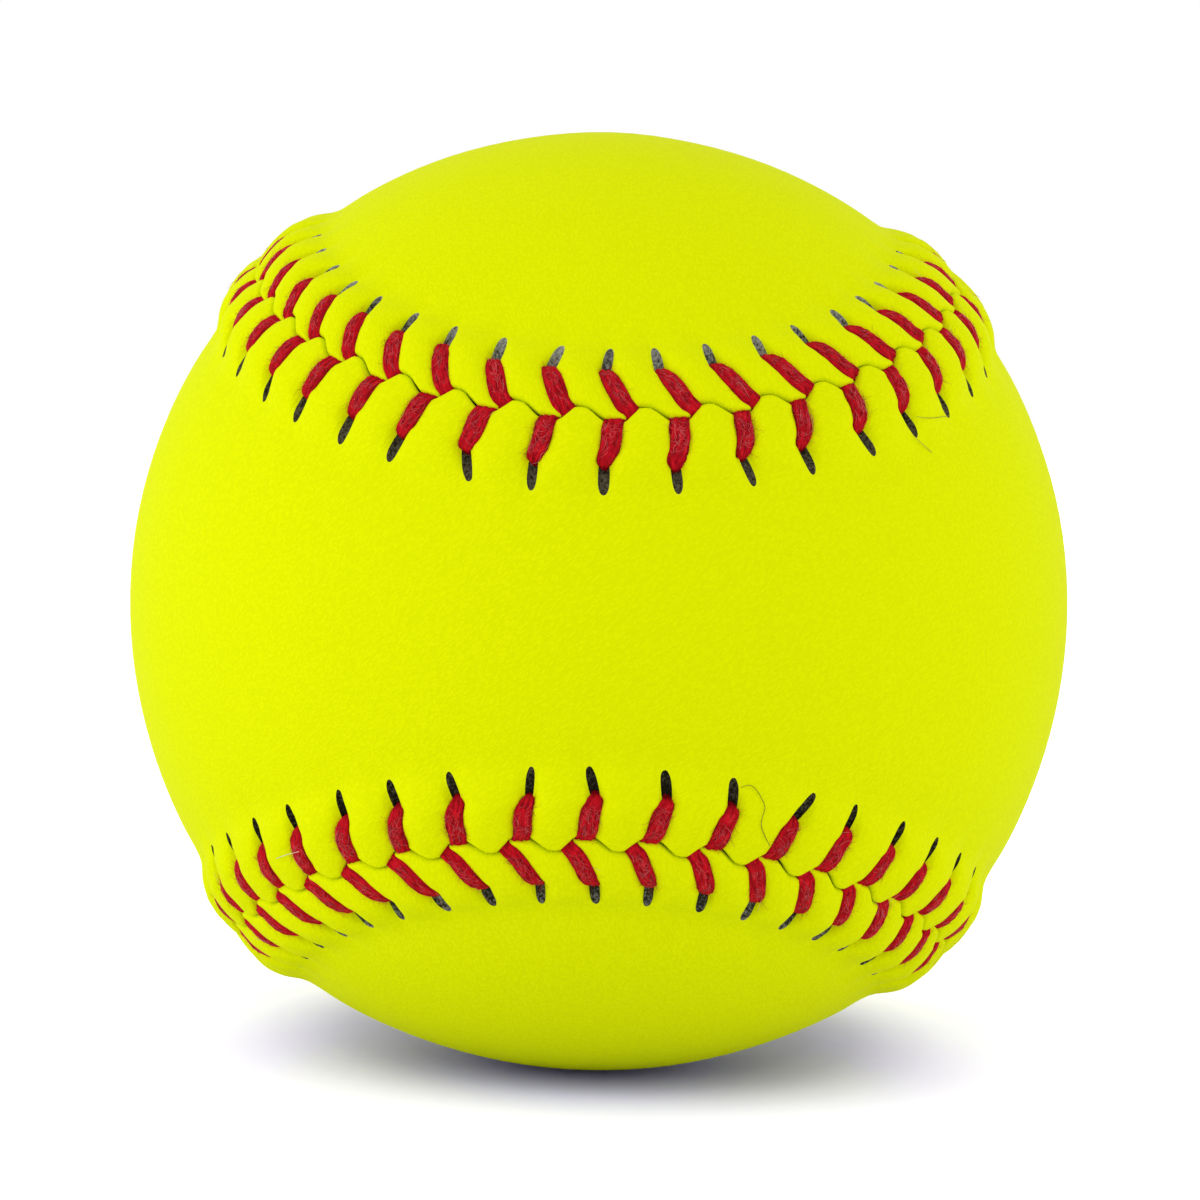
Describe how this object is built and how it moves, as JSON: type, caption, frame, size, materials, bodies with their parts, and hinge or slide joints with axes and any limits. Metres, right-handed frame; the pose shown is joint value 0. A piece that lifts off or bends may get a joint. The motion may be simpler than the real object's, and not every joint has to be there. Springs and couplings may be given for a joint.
{
  "type": "softball",
  "caption": "Optic yellow leather softball with two waisted cover panels, hand-laced raised seam of red thread and a moulded foam core.",
  "frame": {"origin": "centre of the ball", "axes": "-Y towards the middle of the front panel's waist, which faces the viewer; +Z towards the upper lobe of the back panel; +X to the viewer's right"},
  "size_m": [0.097, 0.097, 0.097],
  "materials": {
    "core_foam": "moulded polyurethane foam, matte",
    "cement": "dried cement film, matte",
    "cover_leather": "coated leather with a fine grain, satin",
    "seam_thread": "flat twisted cotton thread, matte, slightly fuzzy"
  },
  "bodies": {
    "root": {"core": "core_foam", "cement_coat": "cement", "front_panel": "cover_leather", "back_panel": "cover_leather", "thread_one": "seam_thread", "thread_two": "seam_thread"}
  },
  "joints": []
}
